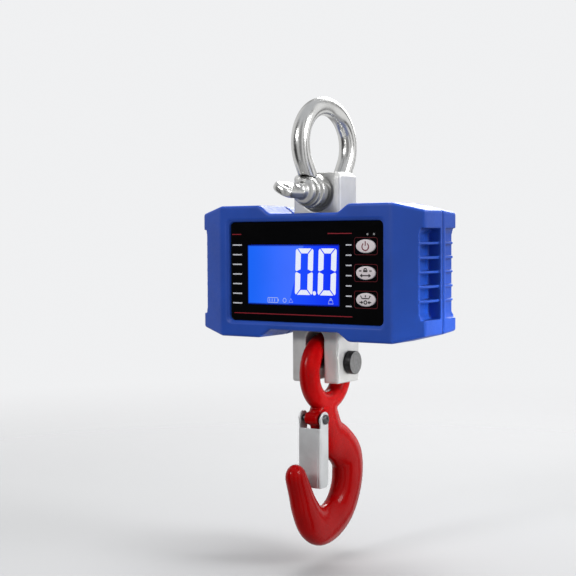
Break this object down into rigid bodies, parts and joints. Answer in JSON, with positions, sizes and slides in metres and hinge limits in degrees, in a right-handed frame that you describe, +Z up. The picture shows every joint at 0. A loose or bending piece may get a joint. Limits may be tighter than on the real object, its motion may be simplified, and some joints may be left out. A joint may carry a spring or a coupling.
{
  "type": "crane scale",
  "caption": "Hanging crane scale: a load cell with a bow shackle above, a latched swinging hook below and a ribbed blue housing with a lit display and keys.",
  "frame": {"origin": "in the middle of the load cell's flat top face, on the vertical load line the scale hangs from", "axes": "+X to the right seen from the display, +Y from the display to the back, +Z up along the load line"},
  "size_m": [0.1762, 0.0998, 0.3063],
  "materials": {
    "cell_steel": "satin milled alloy steel",
    "bright_steel": "polished forged steel",
    "black_steel": "black oxide steel",
    "spring_steel": "dark spring steel",
    "zinc_plate": "zinc-plated pressed sheet",
    "red_paint": "gloss red enamel on a forging",
    "blue_plastic": "fine-textured blue moulding",
    "black_fascia": "glossy black printed sheet",
    "lcd_glass": "display pane, lit blue from behind",
    "backlight": "light guide, lit",
    "key_grey": "satin grey key cap",
    "dark_plastic": "dark moulding",
    "pale_plastic": "natural nylon",
    "led_lens": "clear lens",
    "circuit_board": "solder mask",
    "black_rubber": "soft black rubber",
    "screw_steel": "plated steel",
    "nickel_contact": "nickel-plated strip",
    "battery_wrap": "plain dark sleeve"
  },
  "bodies": {
    "scale_body": {"battery_1": "battery_wrap", "battery_2": "battery_wrap", "battery_3": "battery_wrap", "battery_contact_lower": "nickel_contact", "battery_contact_upper": "nickel_contact", "battery_holder": "dark_plastic", "bracket_screw_left_1": "screw_steel", "bracket_screw_left_2": "screw_steel", "bracket_screw_right_1": "screw_steel", "bracket_screw_right_2": "screw_steel", "buzzer": "dark_plastic", "cell_bracket_left": "zinc_plate", "cell_bracket_right": "zinc_plate", "front_shell": "blue_plastic", "gasket_left": "black_rubber", "gasket_right": "black_rubber", "gauge_cover": "dark_plastic", "hold_switch_body": "dark_plastic", "housing_screw_1": "screw_steel", "housing_screw_2": "screw_steel", "housing_screw_3": "screw_steel", "housing_screw_4": "screw_steel", "lcd_backlight": "backlight", "lcd_frame": "dark_plastic", "lcd_glass": "lcd_glass", "load_cell": "cell_steel", "lower_seal": "black_rubber", "main_pcb": "circuit_board", "panel_overlay": "black_fascia", "pcb_screw_1": "screw_steel", "pcb_screw_2": "screw_steel", "pcb_screw_3": "screw_steel", "pcb_screw_4": "screw_steel", "power_switch_body": "dark_plastic", "processor_chip": "dark_plastic", "rear_shell": "blue_plastic", "sensor_cable": "black_rubber", "sensor_connector": "pale_plastic", "status_led_1": "led_lens", "status_led_2": "led_lens", "upper_seal": "black_rubber", "zero_switch_body": "dark_plastic"},
    "battery_door": {"battery_door": "blue_plastic"},
    "shackle": {"shackle_bow": "bright_steel"},
    "pin_washer": {"shackle_washer": "bright_steel"},
    "screw_pin": {"shackle_pin": "bright_steel"},
    "hook_pin": {"hook_pin": "black_steel", "hook_pin_circlip": "spring_steel"},
    "hook": {"hook_body": "red_paint", "latch_rivet": "black_steel", "latch_spring": "spring_steel"},
    "latch": {"safety_latch": "zinc_plate"},
    "power_button": {"power_key": "key_grey", "power_switch_plunger": "dark_plastic"},
    "hold_button": {"hold_key": "key_grey", "hold_switch_plunger": "dark_plastic"},
    "zero_button": {"zero_key": "key_grey", "zero_switch_plunger": "dark_plastic"}
  },
  "joints": [
    {"name": "shackle_swing", "type": "hinge", "parent": "scale_body", "child": "shackle", "pos_m": [0, 0, -0.0129], "axis": [0, 1, 0], "range_deg": [-85, 85]},
    {"name": "shackle_pin_travel", "type": "slide", "parent": "shackle", "child": "pin_washer", "axis": [0, -1, 0], "range_m": [0, 0.0105]},
    {"name": "shackle_pin_turn", "type": "hinge", "parent": "pin_washer", "child": "screw_pin", "pos_m": [0, 0, -0.0129], "axis": [0, -1, 0], "range_deg": [0, 2161]},
    {"name": "hook_pin_spin", "type": "hinge", "parent": "scale_body", "child": "hook_pin", "pos_m": [0, 0, -0.1285], "axis": [1, 0, 0], "continuous": true},
    {"name": "hook_swing", "type": "hinge", "parent": "scale_body", "child": "hook", "pos_m": [0, 0, -0.1285], "axis": [1, 0, 0], "range_deg": [-40, 40]},
    {"name": "latch_open", "type": "hinge", "parent": "hook", "child": "latch", "pos_m": [0, -0.0155, -0.1664], "axis": [1, 0, 0], "range_deg": [0, 28], "deforming": ["latch_spring"]},
    {"name": "power_key_press", "type": "slide", "parent": "scale_body", "child": "power_button", "axis": [0, 1, 0], "range_m": [0, 0.0008]},
    {"name": "hold_key_press", "type": "slide", "parent": "scale_body", "child": "hold_button", "axis": [0, 1, 0], "range_m": [0, 0.0008]},
    {"name": "zero_key_press", "type": "slide", "parent": "scale_body", "child": "zero_button", "axis": [0, 1, 0], "range_m": [0, 0.0008]},
    {"name": "battery_door_tilt", "type": "hinge", "parent": "scale_body", "child": "battery_door", "pos_m": [-0.0442, 0.0292, -0.0942], "axis": [-1, 0, 0], "range_deg": [0, 85]}
  ],
  "couplings": [
    {"joint": "shackle_pin_turn", "follows": "shackle_pin_travel", "rad_per_m": 3590.4}
  ]
}
